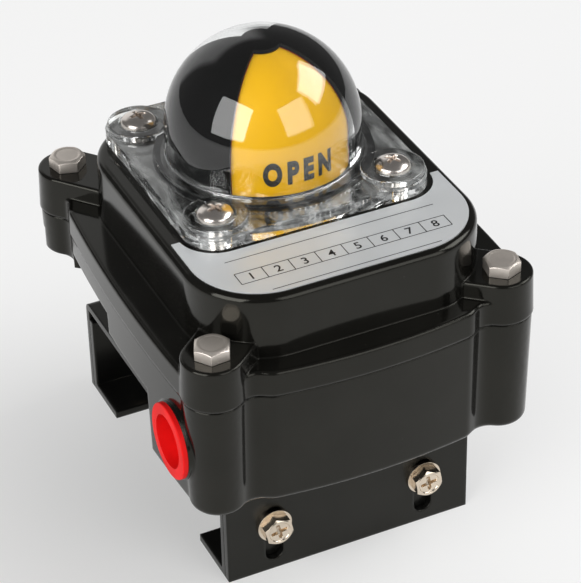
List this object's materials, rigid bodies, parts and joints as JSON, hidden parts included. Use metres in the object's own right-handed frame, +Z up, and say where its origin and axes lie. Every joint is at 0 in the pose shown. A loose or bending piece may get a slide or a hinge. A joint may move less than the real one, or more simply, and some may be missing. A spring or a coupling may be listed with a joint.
{
  "type": "valve limit switch box",
  "caption": "Limit switch box for a quarter-turn valve actuator: black castings on a bracket, clear dome over a turning position indicator, cams that work sealed switches.",
  "frame": {"origin": "on the shaft axis, in the plane of the bracket feet's underside", "axes": "+Z up along the shaft, -Y towards the front, where the label and the cable entries are, +X to the right"},
  "size_m": [0.1146, 0.1374, 0.1522],
  "materials": {
    "black_casting": "gloss black powder coat on die-cast aluminium",
    "bracket_paint": "satin black powder coat on steel sheet",
    "stainless": "dull stainless",
    "nickel": "bright nickel plate",
    "zinc_steel": "zinc plated",
    "clear_plastic": "clear moulded plastic",
    "label_silver": "satin silver",
    "plug_red": "moulded",
    "indicator_black": "moulded",
    "indicator_yellow": "moulded",
    "indicator_red": "moulded",
    "seal_rubber": "moulded",
    "bush_bronze": "sintered",
    "washer_plastic": "moulded",
    "cam_yellow": "moulded",
    "cam_red": "moulded",
    "switch_black": "moulded",
    "terminal_grey": "moulded"
  },
  "bodies": {
    "housing": {"mounting_bracket": "bracket_paint", "bracket_foot_front": "bracket_paint", "bracket_foot_rear": "bracket_paint", "bracket_screws": "nickel", "bracket_washers": "nickel", "bracket_nuts": "stainless", "base_screws": "stainless", "lower_housing": "black_casting", "top_cover": "black_casting", "cover_gasket": "seal_rubber", "cover_bolts": "stainless", "conduit_plug_left": "plug_red", "conduit_plug_right": "zinc_steel", "label_plate": "label_silver", "indicator_dome": "clear_plastic", "dome_gasket": "seal_rubber", "dome_screws": "nickel", "indicator_shroud": "indicator_black", "lower_bush": "bush_bronze", "upper_bush": "bush_bronze", "switch_plate": "zinc_steel", "switch_spacers": "zinc_steel", "switch_screws": "zinc_steel", "microswitch_closed": "switch_black", "microswitch_open": "switch_black", "terminal_block": "terminal_grey", "terminal_screws": "zinc_steel", "terminal_fixing_screws": "zinc_steel", "earth_screw": "zinc_steel"},
    "shaft": {"drive_shaft": "stainless", "shaft_seals": "seal_rubber", "thrust_washer": "washer_plastic", "retaining_clip": "stainless", "cam_hub": "washer_plastic", "cam_closed": "cam_red", "cam_open": "cam_yellow", "cam_spring": "stainless", "cam_retainer": "washer_plastic", "indicator_carrier": "indicator_black", "indicator_screw": "nickel", "indicator_open_windows": "indicator_yellow", "indicator_shut_windows": "indicator_red"},
    "closed_lever": {"lever_closed": "zinc_steel", "roller_closed": "zinc_steel"},
    "open_lever": {"lever_open": "zinc_steel", "roller_open": "zinc_steel"}
  },
  "joints": [
    {"name": "shaft_turn", "type": "hinge", "parent": "housing", "child": "shaft", "pos_m": [0, 0, 0.05], "axis": [0, 0, 1], "range_deg": [0, 90]},
    {"name": "closed_lever_swing", "type": "hinge", "parent": "housing", "child": "closed_lever", "pos_m": [-0.0125, 0.0197, 0.05915], "axis": [0, 0, 1], "range_deg": [0, 9]},
    {"name": "open_lever_swing", "type": "hinge", "parent": "housing", "child": "open_lever", "pos_m": [-0.0125, 0.0197, 0.07315], "axis": [0, 0, 1], "range_deg": [-9, 0]}
  ],
  "couplings": [
    {"joint": "closed_lever_swing", "follows": "shaft_turn", "ratio": 0.1},
    {"joint": "open_lever_swing", "follows": "shaft_turn", "ratio": -0.1}
  ]
}
